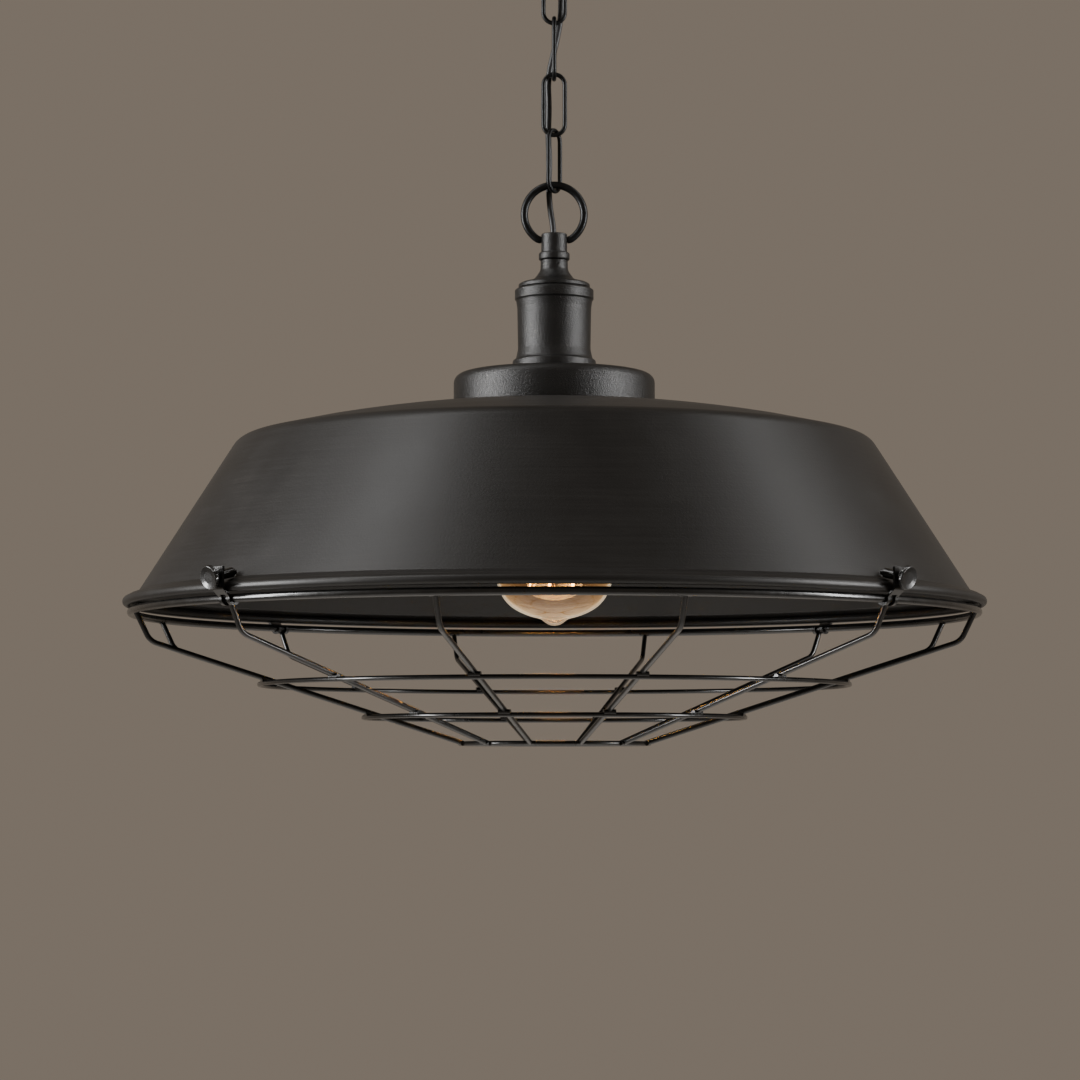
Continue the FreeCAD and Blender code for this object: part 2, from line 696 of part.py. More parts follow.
def make_guard():
    """Wire guard: twelve bent ribs on a ring and two hoops, with their ends butted to a last hoop."""
    short = "hoop_wire / 2 - weld_depth"
    hoop("guard_ring", "guard_radius", "guard_ring_wire", "guard_level")
    for name, radius in (("upper", "upper_hoop_radius"), ("lower", "lower_hoop_radius")):
        drop = f"guard_base + ({radius} - guard_end_radius) * rib_slope - hoop_step"
        hoop(f"guard_hoop_{name}", radius, "hoop_wire", drop)
    hoop("guard_hoop_end", "guard_end_radius", "hoop_wire", "guard_base")
    for number in range(12):
        name = f"guard_rib_{number + 1:02d}"
        body = new_body(name)
        path = new_sketch(body, name + "_path", "XZ_Plane")
        draw(path, [("guard_radius", "guard_level"), ("knee_radius", "knee_level", "knee_bend"),
                    (f"guard_end_radius + {short}", f"guard_base + ({short}) * rib_slope")], closed=False)
        sweep(body, name, path, "rib_wire / 2")
        place(body, LAMP, turn=15 + 30 * number)


def across_screw(body, name, radius, start):
    """A circle across a clamp screw's axis, which leans down outwards, at a distance out from the plate."""
    face = new_sketch(body, name, "YZ_Plane")
    face.AttachmentOffset = FreeCAD.Placement(V(0, 0, 0), FreeCAD.Rotation(V(1, 0, 0), size("screw_tilt")))
    tie(face, AttachmentOffset__Rotation__Angle="screw_tilt",
        AttachmentOffset__Base__y=f"screw_level - ({start}) * sin(screw_tilt)",
        AttachmentOffset__Base__z=f"plate_radius + ({start}) * cos(screw_tilt)")
    circle = face.addGeometry(Part.Circle(V(0, 0, 0), ONE, size(radius)), False)
    face.addConstraint(Sketcher.Constraint("Coincident", circle, 3, -1, 1))
    tie_radius(face, circle, radius)
    return face


def bore_screw(body, name, start, length):
    """A clearance hole for a clamp screw, along its axis."""
    pocket = body.newObject("PartDesign::Pocket", name)
    pocket.Profile = across_screw(body, name + "_circle", "stud_radius + stud_clearance", start)
    pocket.Reversed = True
    tie(pocket, Length=length)
    body.Tip = pocket


def make_clamp(number, turn):
    """One clamp: a bent strip that hangs on the guard ring, its thumb screw and the screw's knob."""
    body = new_body(f"clamp_bracket_{number}")
    hook = new_sketch(body, f"hook_path_{number}", "XZ_Plane")
    left, right, low = "guard_radius - hook_radius", "guard_radius + hook_radius", "guard_level - hook_radius"
    bend = "hook_radius - 0.1"
    draw(hook, [(left, "guard_level + 0.6"), (left, low, bend), (right, low, bend),
                (right, "guard_level + 0.9", "1.2"), ("plate_radius", "guard_level + 4.6", "1.2"),
                ("plate_radius", "screw_level + plate_rise")], closed=False)
    sweep(body, f"hook_{number}", hook, ("strip_thickness", "hook_width"))
    DOC.recompute()
    cut_block(body, f"rib_slot_{number}", "XZ_Plane", [
        (f"{left} - 2", f"{low} - 2"), (f"{right} + 2", f"{low} - 2"),
        (f"{right} + 2", "guard_level + 1.6"), (f"{left} - 2", "guard_level + 1.6")],
        "-hook_slot / 2", "hook_slot / 2")
    boss = across_screw(body, f"boss_{number}", "boss_radius", "-boss_length")
    add_pad(body, boss, f"boss_pad_{number}", "boss_length")
    bore_screw(body, f"screw_hole_{number}", "-boss_length - 1", "boss_length + 3")
    place(body, LAMP, turn=turn)

    stud = new_body(f"thumb_stud_{number}")
    bar = across_screw(stud, f"stud_bar_{number}", "stud_radius", "-stud_reach")
    add_pad(stud, bar, f"stud_pad_{number}", "stud_reach + knob_inside + hub_length + 1")
    place(stud, LAMP, turn=turn)

    knob = new_body(f"thumb_knob_{number}")
    hub = across_screw(knob, f"knob_hub_{number}", "hub_radius", "knob_inside")
    add_pad(knob, hub, f"knob_hub_pad_{number}", "hub_length")
    disc = across_screw(knob, f"knob_disc_{number}", "knob_radius", "knob_inside + hub_length")
    add_pad(knob, disc, f"knob_disc_pad_{number}", "knob_thickness")
    bore_screw(knob, f"knob_bore_{number}", "knob_inside - 1", "hub_length + 2 + stud_clearance")
    place(knob, LAMP, turn=turn)


def make_bulb():
    """Filament bulb: screw cap, insulator, centre contact, glass envelope, stem, supports and filament."""
    top, contact = "bulb_top", "contact_thickness"
    cap_top = "bulb_top - contact_thickness - insulator_height"
    cap_low = f"{cap_top} - cap_shell_height"
    inside = "cap_shell_radius - cap_shell_wall"
    turned("bulb_cap", [
        (inside, cap_low), ("cap_shell_radius", cap_low), ("cap_shell_radius", cap_top, "1"),
        (f"{inside} - 1.2", cap_top), (f"{inside} - 1.2", f"{cap_top} - cap_shell_wall"),
        (inside, f"{cap_top} - cap_shell_wall", "0.5")], LAMP)
    turned("bulb_insulator", [
        ("0", cap_top), (f"{inside} - 1.2", cap_top), ("bulb_contact_radius", f"{top} - {contact}"),
        ("0", f"{top} - {contact}")], LAMP)
    turned("bulb_contact", [
        ("0", f"{top} - {contact}"), ("bulb_contact_radius", f"{top} - {contact}"),
        ("bulb_contact_radius - 1", top), ("0", top)], LAMP)
    path = DOC.addObject("Sketcher::SketchObject", "glass_path")
    draw(path, [
        ("0", "bulb_tip"),
        ("4.6", "bulb_tip", "4"),
        ("5.6", "bulb_tip + 6.2", "3"),
        ("bulb_radius + 0.5", "bulb_tip + 8.4", "17"),
        ("bulb_radius", "bulb_tip + 46", "90"),
        ("bulb_neck_radius + 2.6", f"{cap_low} - 14", "60"),
        ("bulb_neck_radius + 1.1", f"{cap_low} - 1.2", "1"),
        ("bulb_neck_radius", f"{cap_low} + 1", "1"),
        ("bulb_neck_radius", f"{cap_low} + 7"),
    ], closed=False)
    glass = named(shell("envelope", path, "glass_wall"), "bulb_glass")
    place(glass, LAMP)
    turned("bulb_stem", [
        ("0", "filament_low + 12"), ("stem_glass_radius - 1", "filament_low + 12", "1"),
        ("stem_glass_radius", "filament_high"), ("stem_glass_radius", "filament_high + 16"),
        ("bulb_neck_radius - glass_wall - 0.2", f"{cap_low} + 4"),
        ("bulb_neck_radius - glass_wall - 0.2", f"{cap_low} + 6"), ("0", f"{cap_low} + 6")], LAMP)
    make_filament()


def rod(start, end, radius):
    """A round-ended straight wire between two points."""
    length = (end - start).Length
    wire = Part.makeCylinder(radius, length, start, end - start)
    return wire.fuse([Part.makeSphere(radius, start), Part.makeSphere(radius, end)])


def make_filament():
    """Squirrel-cage filament: a zigzag between two crowns of support wires round the stem."""
    runs = 12
    low, high = size("filament_low"), size("filament_high")
    wide, narrow = size("filament_low_radius"), size("filament_high_radius")
    thin, support = size("filament_radius"), size("support_radius")
    spots = []
    for number in range(runs + 1):
        angle = math.radians(20 + 320 * number / runs)
        bottom = number % 2
        radius, level = (wide, low) if bottom else (narrow, high)
        spots.append(V(radius * math.cos(angle), radius * math.sin(angle), level))
    wires = [rod(start, end, thin) for start, end in zip(spots, spots[1:])]
    filament = DOC.addObject("Part::Feature", "bulb_filament")
    filament.Shape = wires[0].fuse(wires[1:])
    place(filament, LAMP)
    hubs = {low: V(0, 0, low + 13), high: V(0, 0, high + 4)}
    arms = [rod(hubs[spot.z], spot * 0.96 + V(0, 0, spot.z * 0.04), support) for spot in spots]
    spider = DOC.addObject("Part::Feature", "bulb_supports")
    spider.Shape = arms[0].fuse(arms[1:])
    place(spider, LAMP)


def make_cord():
    """The flex: it leaves the canopy beside the chain, winds down through the links and enters the neck.

    The stops are (x, y, height above the lamp's level 0)."""
    stops = [
        (13, 0, 383.5), (13, 0, 369.5), (9.4, 2.4, 357.5), (4.5, 3.5, 346.5), (3.9, 3.7, 333.5),
        (3.6, 3.2, 318.9), (0.2, 2.0, 303), (-3.5, 3.2, 287.3), (-2.7, 3.5, 271.8), (-3.3, 3.2, 256.7),
        (-2.5, 3.2, 242), (-3.0, 4.2, 227.8), (-2.2, 2.6, 214.8), (0, 0, 202.5), (0, 0, 180),
    ]
    base = size("lamp_level")
    spots = [V(x, y, base + up) for x, y, up in stops]
    radius = size("cord_radius")
    edges, here, length = [], spots[0], 0
    for before, spot, after in zip(spots, spots[1:], spots[2:]):
        back, on = (before - spot).normalize(), (after - spot).normalize()
        half = back.getAngle(on) / 2
        shorter = min((before - spot).Length, (after - spot).Length)
        bend = 0.45 * shorter * math.tan(half)
        reach = 0.45 * shorter
        start, end = spot + back * reach, spot + on * reach
        middle = spot + (back + on).normalize() * (bend / math.sin(half) - bend)
        edges += [Part.LineSegment(here, start).toShape(), Part.Arc(start, middle, end).toShape()]
        here = end
        print(f"cord bend radius {bend:.0f}")
    edges.append(Part.LineSegment(here, spots[-1]).toShape())
    path = Part.Wire(edges)
    across = (spots[1] - spots[0]).normalize()
    section = Part.Wire([Part.Circle(spots[0], across, radius).toShape()])
    cord = DOC.addObject("Part::Feature", "supply_cord")
    cord.Shape = path.makePipeShell([section], True, False)
    place(cord)
    ratio = cord.Shape.Volume / (math.pi * radius**2 * path.Length)
    print(f"cord length {path.Length:.1f}, volume against section times length {ratio:.4f}")


def write_parts():
    """Checks every object, then writes each labelled sub-part."""
    DOC.recompute()
    for thing in DOC.Objects:
        if "Invalid" in thing.State or "Error" in thing.State:
            raise RuntimeError(f"{thing.Label} failed: {thing.State}")
    used = {inner for thing in DOC.Objects for inner in thing.OutList if thing.TypeId.startswith("Part::")}
    os.makedirs("parts", exist_ok=True)
    count = 0
    for thing in DOC.Objects:
        whole = thing.TypeId == "PartDesign::Body" or thing.TypeId.startswith("Part::")
        if not whole or thing in used:
            continue
        shape = thing.Shape
        if shape.isNull() or not shape.isValid() or not shape.Solids:
            raise RuntimeError(f"{thing.Label} has no valid solid")
        shape.exportStep(f"parts/{thing.Label}.step")
        count += 1
        print(f"{thing.Label:20s} {shape.Volume:10.1f} mm3  {len(shape.Solids)} solid")
    print(count, "sub-parts")


fill_sheets()
make_ceiling_fitting()
make_chain()
make_holder()
make_socket()
make_shade()
make_guard()
for clamp in range(4):
    make_clamp(clamp + 1, 45 + 90 * clamp)
make_bulb()
make_cord()
write_parts()
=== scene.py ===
"""Looks of the chain-hung barn pendant light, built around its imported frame."""

import json
import math

import bmesh
import bpy
from mathutils import Matrix, Vector
from mathutils.geometry import interpolate_bezier


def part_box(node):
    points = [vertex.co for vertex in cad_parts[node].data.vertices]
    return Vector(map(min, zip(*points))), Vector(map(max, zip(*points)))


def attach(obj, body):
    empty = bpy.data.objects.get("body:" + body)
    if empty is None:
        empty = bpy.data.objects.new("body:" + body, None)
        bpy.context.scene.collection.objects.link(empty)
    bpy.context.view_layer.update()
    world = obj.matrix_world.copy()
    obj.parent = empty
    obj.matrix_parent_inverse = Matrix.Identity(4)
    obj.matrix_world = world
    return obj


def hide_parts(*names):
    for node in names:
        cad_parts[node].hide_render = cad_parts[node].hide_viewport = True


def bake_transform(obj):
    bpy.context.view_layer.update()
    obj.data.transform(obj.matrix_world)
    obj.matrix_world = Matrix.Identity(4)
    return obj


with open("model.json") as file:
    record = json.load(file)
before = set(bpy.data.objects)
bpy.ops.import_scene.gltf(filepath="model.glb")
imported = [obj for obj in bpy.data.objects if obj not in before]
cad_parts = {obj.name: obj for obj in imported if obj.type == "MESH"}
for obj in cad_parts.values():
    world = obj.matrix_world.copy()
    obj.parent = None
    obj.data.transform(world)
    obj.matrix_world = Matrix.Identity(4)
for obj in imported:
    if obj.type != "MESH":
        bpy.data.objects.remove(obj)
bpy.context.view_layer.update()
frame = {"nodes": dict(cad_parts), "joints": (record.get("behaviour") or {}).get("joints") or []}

MM = 0.001
NODES = frame["nodes"]

# The lamp's own level 0 is the middle of the bead round the shade's rim.
BEAD = 2.5
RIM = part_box("shade")[1][0]
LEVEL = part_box("shade")[0][2] + BEAD * MM
FLOOR = LEVEL - 1.1


# ---------------------------------------------------------------- finishes

class Value:
    """A shader socket that adds its Math nodes when it is used in a sum."""

    def __init__(self, finish, socket):
        self.finish = finish
        self.socket = socket

    def math(self, operation, first, second):
        return self.finish.node("ShaderNodeMath", {"operation": operation}, [first, second])

    def __add__(self, other):
        return self.math("ADD", self, other)

    def __radd__(self, other):
        return self.math("ADD", other, self)

    def __sub__(self, other):
        return self.math("SUBTRACT", self, other)

    def __rsub__(self, other):
        return self.math("SUBTRACT", other, self)

    def __mul__(self, other):
        return self.math("MULTIPLY", self, other)

    def __rmul__(self, other):
        return self.math("MULTIPLY", other, self)

    def above(self, low, high):
        """0 below low, 1 above high, and a smooth step between."""
        return self.finish.node("ShaderNodeMapRange", {"interpolation_type": "SMOOTHSTEP"},
                                {"Value": self, "From Min": low, "From Max": high})


class Finish:
    """A material, its shader, and one method that adds any node to it."""

    def __init__(self, name, **constants):
        self.material = bpy.data.materials.new(name)
        self.material.use_nodes = True
        self.tree = self.material.node_tree
        self.shader = self.tree.nodes["Principled BSDF"]
        for key, value in constants.items():
            self.shader.inputs[key.replace("_", " ")].default_value = value

    def node(self, kind, settings, sockets, output=0):
        node = self.tree.nodes.new(kind)
        for key, value in settings.items():
            if key == "stops":
                while len(node.color_ramp.elements) < len(value):
                    node.color_ramp.elements.new(0.5)
                for element, (place, colour) in zip(node.color_ramp.elements, value):
                    element.position = place
                    element.color = (*colour, 1)
            else:
                setattr(node, key, value)
        pairs = sockets.items() if isinstance(sockets, dict) else enumerate(sockets)
        for key, value in pairs:
            self.join(node.inputs[key], value)
        return Value(self, node.outputs[output])

    def join(self, socket, value):
        if isinstance(value, Value):
            self.tree.links.new(value.socket, socket)
        else:
            socket.default_value = value

    def feed(self, **sockets):
        for key, value in sockets.items():
            self.join(self.shader.inputs[key.replace("_", " ")], value)

    def place(self, stretch=(1, 1, 1)):
        spot = self.node("ShaderNodeTexCoord", {}, {}, output=3)
        return self.node("ShaderNodeMapping", {}, {"Vector": spot, "Scale": stretch})

    def noise(self, scale, detail=2.0, stretch=(1, 1, 1), rough=0.5):
        return self.node("ShaderNodeTexNoise", {}, {
            "Vector": self.place(stretch), "Scale": scale, "Detail": detail, "Roughness": rough})

    def cells(self, scale):
        return self.node("ShaderNodeTexVoronoi", {}, {"Vector": self.place(), "Scale": scale})

    def ramp(self, value, *stops):
        return self.node("ShaderNodeValToRGB", {"stops": stops}, [value])

    def bump(self, height, distance):
        sockets = {"Strength": 1.0, "Distance": distance, "Height": height}
        self.feed(Normal=self.node("ShaderNodeBump", {}, sockets))


def shade_paint():
    """Satin charcoal paint on a spun shade: faint rings from spinning, soft mottling, a few fine rubs."""
    paint = Finish("shade_paint", Coat_Weight=0.12, Coat_Roughness=0.3)
    rings = paint.noise(34, 3, (0.5, 0.5, 26), 0.6)
    mottle = paint.noise(26, 4)
    grain = paint.noise(900, 2)
    rubs = paint.noise(60, 5, (1, 1, 9), 0.65).above(0.66, 0.76)
    tone = 0.45 * mottle + 0.35 * rings + 0.2 * grain + 0.12 * rubs
    paint.feed(
        Base_Color=paint.ramp(tone, (0.3, (0.0055, 0.005, 0.0046)), (0.55, (0.0095, 0.0087, 0.008)),
                              (0.85, (0.024, 0.0215, 0.02))),
        Roughness=0.33 + 0.16 * mottle + 0.1 * rings + 0.08 * rubs,
        Metallic=0.25 + 0.2 * grain,
    )
    paint.bump(0.5 * grain + 0.35 * rings + 0.6 * mottle, 0.00012)
    return paint.material


def cast_paint():
    """Wrinkled black powder coat on the cast pieces, with sparkle on its tiny peaks."""
    paint = Finish("cast_paint")
    pits = paint.cells(1500)
    grain = paint.noise(1100, 4, rough=0.7)
    broad = paint.noise(90, 3)
    peaks = grain.above(0.5, 0.68)
    paint.feed(
        Base_Color=paint.ramp(0.7 * peaks + 0.3 * broad, (0.1, (0.004, 0.004, 0.004)),
                              (0.5, (0.011, 0.0105, 0.01)), (0.95, (0.075, 0.071, 0.066))),
        Roughness=0.36 - 0.12 * peaks + 0.06 * broad,
        Metallic=0.2 + 0.55 * peaks,
    )
    paint.bump(grain + 0.5 * pits, 0.0002)
    return paint.material


def gloss_paint():
    """Semi-gloss black on bent wire and strip: slight flow marks, rubbed lighter in places."""
    paint = Finish("gloss_paint", Coat_Weight=0.45, Coat_Roughness=0.12)
    flow = paint.noise(160, 3)
    worn = paint.noise(330, 5, rough=0.7).above(0.62, 0.74)
    paint.feed(
        Base_Color=paint.ramp(0.6 * flow + 0.4 * worn, (0.2, (0.005, 0.005, 0.005)),
                              (0.6, (0.012, 0.0115, 0.011)), (0.95, (0.05, 0.046, 0.042))),
        Roughness=0.24 + 0.1 * flow + 0.2 * worn,
        Metallic=0.3 + 0.5 * worn,
    )
    paint.bump(flow + 0.15 * worn, 0.0002)
    return paint.material


def gunmetal():
    """Blackened steel of the chain, the loop ring and the ceiling cover."""
    metal = Finish("gunmetal")
    cloud = metal.noise(210, 4)
    bare = metal.noise(520, 5, rough=0.75).above(0.58, 0.72)
    metal.feed(
        Base_Color=metal.ramp(0.55 * cloud + 0.45 * bare, (0.2, (0.012, 0.0125, 0.013)),
                              (0.6, (0.03, 0.031, 0.032)), (0.95, (0.14, 0.135, 0.13))),
        Roughness=0.27 + 0.14 * cloud + 0.1 * bare,
        Metallic=0.75 + 0.2 * bare,
    )
    metal.bump(cloud, 0.0001)
    return metal.material


def plain_metal(name, dark, light, rough, stretch=(1, 1, 1)):
    """A bare or plated metal with fine brushing and a little tarnish."""
    metal = Finish(name, Metallic=1.0)
    brush = metal.noise(420, 3, stretch, 0.6)
    stain = metal.noise(120, 4)
    metal.feed(Base_Color=metal.ramp(0.5 * brush + 0.5 * stain, (0.3, dark), (0.75, light)),
               Roughness=rough + 0.18 * stain + 0.08 * brush)
    metal.bump(brush, 0.00004)
    return metal.material


def glazed(name, dark, light):
    """Glazed porcelain or black glass: smooth, with faint specks."""
    glaze = Finish(name, Coat_Weight=0.5, Coat_Roughness=0.05)
    specks = glaze.noise(700, 3)
    glaze.feed(Base_Color=glaze.ramp(specks, (0.35, dark), (0.6, light)), Roughness=0.22 + 0.1 * specks)
    glaze.bump(glaze.noise(60, 2), 0.0001)
    return glaze.material


def rubbery():
    """Smooth black PVC of the flex and its bush, slightly dusty."""
    skin = Finish("flex_skin", Specular_IOR_Level=0.45)
    dust = skin.noise(350, 4)
    skin.feed(Base_Color=skin.ramp(dust, (0.3, (0.007, 0.007, 0.0075)), (0.75, (0.02, 0.02, 0.021))),
              Roughness=0.36 + 0.2 * dust)
    skin.bump(skin.noise(1400, 2), 0.00003)
    return skin.material


def clear_glass():
    """Thin, faintly amber bulb glass, with a painted glow of the filament's light that is brightest where
    the glass is seen edge-on.
    """
    # The emission is a painted glow: the glass gives out warm light of its own, standing in for the
    # filament's light caught in it.
    glass = Finish("bulb_glass_clear", Transmission_Weight=1.0, IOR=1.45, Emission_Strength=0.9)
    haze = glass.noise(40, 3)
    # edge masks the painted glow, brighter where the glass is seen edge-on.
    edge = glass.node("ShaderNodeLayerWeight", {}, {"Blend": 0.3}, output=1)
    glass.feed(Base_Color=glass.ramp(haze, (0.2, (1.0, 0.86, 0.66)), (0.8, (1.0, 0.93, 0.8))),
               Roughness=0.01 + 0.025 * haze,
               Emission_Color=glass.ramp(edge * (0.7 + 0.6 * haze), (0.15, (0.03, 0.012, 0.002)),
                                         (0.5, (0.16, 0.09, 0.035)), (0.88, (1.0, 0.86, 0.62))))
    return glass.material


def glowing():
    """Filament wire at working heat: hotter at its middle, cooler where it is held."""
    wire = Finish("filament_glow", Emission_Strength=150.0, Roughness=0.6)
    heat = wire.noise(90, 2)
    wire.feed(Base_Color=wire.ramp(heat, (0.2, (0.4, 0.12, 0.03)), (0.8, (0.8, 0.35, 0.1))),
              Emission_Color=wire.ramp(heat, (0.3, (1.0, 0.4, 0.06)), (0.7, (1.0, 0.62, 0.2))))
    return wire.material


SHADE = shade_paint()
CAST = cast_paint()
GLOSS = gloss_paint()
GUNMETAL = gunmetal()
ZINC = plain_metal("zinc_plate", (0.3, 0.3, 0.31), (0.58, 0.57, 0.54), 0.3)
BRASS = plain_metal("socket_brass", (0.45, 0.28, 0.09), (0.8, 0.58, 0.26), 0.25, (1, 1, 8))
NICKEL = plain_metal("cap_nickel", (0.45, 0.42, 0.36), (0.75, 0.71, 0.62), 0.22, (1, 1, 8))
LEAD_WIRE = plain_metal("support_wire", (0.12, 0.11, 0.1), (0.3, 0.28, 0.26), 0.35)
PORCELAIN = glazed("porcelain", (0.66, 0.64, 0.58), (0.86, 0.85, 0.8))
BLACK_GLASS = glazed("black_glass", (0.006, 0.006, 0.008), (0.02, 0.02, 0.022))
FLEX = rubbery()
GLASS = clear_glass()
GLOW = glowing()


# ---------------------------------------------------------------- mesh helpers

def finished(piece, body, slot, material, *nodes, smooth=35):
    """Gives a piece its material, its body and the CAD nodes that it stands for. The slot argument is not
    used.
    """
    piece.data.materials.clear()
    piece.data.materials.append(material)
    piece.data.shade_smooth()
    piece.data.set_sharp_from_angle(angle=math.radians(smooth))
    if nodes:
        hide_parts(*nodes)
    if body:
        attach(piece, body)
    return piece


def new_piece(name, mesh):
    piece = bpy.data.objects.new(name, mesh)
    bpy.context.collection.objects.link(piece)
    return piece


def settled(piece):
    """The piece with its modifiers worked into a plain mesh."""
    view = bpy.context.evaluated_depsgraph_get()
    mesh = bpy.data.meshes.new_from_object(piece.evaluated_get(view))
    piece.modifiers.clear()
    if piece.type == "MESH":
        piece.data = mesh
        return piece
    name = piece.name
    bpy.data.objects.remove(piece)
    return new_piece(name, mesh)


def rounded(corners, steps=6, closed=False):
    """Points through (across, up) corners, where a third value is the radius that rounds a corner."""
    points = []
    count = len(corners)
    for at, corner in enumerate(corners):
        here = Vector(corner[:2])
        if len(corner) < 3 or (not closed and at in (0, count - 1)):
            points.append(here)
            continue
        back = (Vector(corners[at - 1][:2]) - here).normalized()
        on = (Vector(corners[(at + 1) % count][:2]) - here).normalized()
        half = back.angle(on) / 2
        centre = here + (back + on).normalized() * (corner[2] / math.sin(half))
        start = here + back * (corner[2] / math.tan(half)) - centre
        end = here + on * (corner[2] / math.tan(half)) - centre
        turn = start.angle_signed(end)
        for step in range(steps + 1):
            share = step / steps
            points.append(centre + Matrix.Rotation(-turn * share, 2) @ start)
    return points


def flowing(points, steps=8):
    """A smooth line through points, each span bent by its neighbours."""
    line = []
    for at in range(len(points) - 1):
        start, end = Vector(points[at]), Vector(points[at + 1])
        before = Vector(points[at - 1]) if at else start
        after = Vector(points[at + 2]) if at + 2 < len(points) else end
        leave, arrive = (end - before) / 6, (after - start) / 6
        line += interpolate_bezier(start, start + leave, end - arrive, end, steps)[:-1]
    return [*line, Vector(points[-1])]


def lathe(name, points, closed=False, turns=192, swell=None):
    """A mesh turned about the vertical axis from points (radius, level), in millimetres from level 0."""
    build = bmesh.new()
    rows = []
    for point in points:
        across, up = point[0] * MM, LEVEL + point[1] * MM
        if across < 1e-6:
            rows.append([build.verts.new((0, 0, up))])
            continue
        row = []
        for step in range(turns):
            angle = math.tau * step / turns
            reach = across * (1 + swell(angle, point) if swell else 1)
            row.append(build.verts.new((reach * math.cos(angle), reach * math.sin(angle), up)))
        rows.append(row)
    pairs = list(zip(rows, rows[1:])) + ([(rows[-1], rows[0])] if closed else [])
    for low, high in pairs:
        for step in range(turns):
            after = (step + 1) % turns
            below = [low[step % len(low)], low[after % len(low)]]
            above = [high[after % len(high)], high[step % len(high)]]
            corners = list(dict.fromkeys(below + above))
            if len(corners) > 2:
                build.faces.new(corners)
    bmesh.ops.remove_doubles(build, verts=build.verts, dist=1e-7)
    bmesh.ops.recalc_face_normals(build, faces=build.faces)
    mesh = bpy.data.meshes.new(name)
    build.to_mesh(mesh)
    build.free()
    return new_piece(name, mesh)


def thicken(piece, wall, side=-1):
    solid = piece.modifiers.new("wall", "SOLIDIFY")
    solid.thickness = wall * MM
    solid.offset = side
    solid.use_even_offset = True
    return settled(piece)


def wire(name, points, radius, closed=False, sides=8, radii=None):
    """A round wire through points in metres."""
    curve = bpy.data.curves.new(name, "CURVE")
    curve.dimensions = "3D"
    curve.bevel_depth = radius
    curve.bevel_resolution = sides // 2
    curve.use_fill_caps = not closed
    line = curve.splines.new("POLY")
    line.points.add(len(points) - 1)
    for at, point in enumerate(points):
        line.points[at].co = (*point, 1)
        if radii:
            line.points[at].radius = radii[at]
    line.use_cyclic_u = closed
    return settled(new_piece(name, curve))


def joined(name, pieces):
    """One mesh of several."""
    build = bmesh.new()
    for piece in pieces:
        build.from_mesh(piece.data)
        bpy.data.objects.remove(piece)
    mesh = bpy.data.meshes.new(name)
    build.to_mesh(mesh)
    build.free()
    return new_piece(name, mesh)


# ---------------------------------------------------------------- shade and holder

def dome_level(radius, apex=107.96, curve=700.0):
    """Height of the shade's domed top at a radius, in millimetres."""
    return apex - curve + math.sqrt(curve * curve - radius * radius)


def make_shade():
    """Spun shade: dome, shoulder, straight wall, narrow brim and an edge rolled round a full bead."""
    dome = [(radius, dome_level(radius)) for radius in range(20, 150, 10)]
    bead_radius, wall = RIM / MM - BEAD, 0.9
    edge = rounded([*dome, (170, 87, 11), (221.8, 5, 1.8), (226.4, 3.4, 1.2), (227.6, BEAD)], 10)
    roll = []
    for step in range(1, 27):
        angle = math.radians(88 - 12.2 * step)
        roll.append((bead_radius + BEAD * math.cos(angle), BEAD * math.sin(angle)))
    shade = thicken(lathe("shade_shell", edge + roll, turns=256), wall)
    finished(shade, "lamp", "shade_black", SHADE, "shade")


def make_holder():
    """Flange, cup, cap and collar, each turned with its edges eased."""
    flange = [(52.3, dome_level(53)), (54.3, dome_level(54.3), 0.5), (54.3, 124.2, 5), (24.6, 125, 2),
              (19, 125), (19, 123), (52.3, 122.4, 3)]
    finished(lathe("flange", rounded(flange, 8, True), True), "lamp", "cast_black", CAST, "shade_flange")
    cup = [(17.6, 99), (18.7, 99, 0.3), (18.7, 125), (22.5, 125, 0.3), (22.5, 131.8, 1.3),
           (21.0, 132.6, 0.4), (20.6, 133.6, 0.5), (19.6, 138.0, 10), (20.0, 160.4, 6),
           (20.6, 164.4, 1.2), (21.3, 165.3, 0.7), (21.3, 170.2, 0.9), (20.2, 171.0, 0.4),
           (17.6, 171.0)]
    finished(lathe("cup", rounded(cup, 5, True), True), "lamp", "cast_black", CAST, "holder_cup")
    cap = [(17.3, 171.2), (18.6, 171.2), (19.3, 171.6, 0.4), (19.3, 173.4, 0.8), (17.8, 174.2, 0.8),
           (11.0, 176.0, 6), (7.5, 181.0, 5), (7.3, 186.6, 0.3), (5, 186.6), (5, 176), (15.6, 171.5, 1),
           (15.6, 164.8), (17.3, 164.8)]
    finished(lathe("cap", rounded(cap, 7, True), True), "lamp", "cast_black", CAST, "holder_cap")
    collar = [(5, 186.7), (7.9, 186.7, 0.4), (8.35, 187.3, 0.5), (8.35, 190.2, 0.6), (7.7, 190.9, 0.4),
              (5, 190.9)]
    finished(lathe("collar", rounded(collar, 4, True), True, 96), "lamp", "cast_black", CAST, "lock_collar")


# ---------------------------------------------------------------- guard

def add_group_input(tree, name, kind, value):
    socket = tree.interface.new_socket(name, in_out="INPUT", socket_type=kind)
    socket.default_value = value
    return socket.identifier


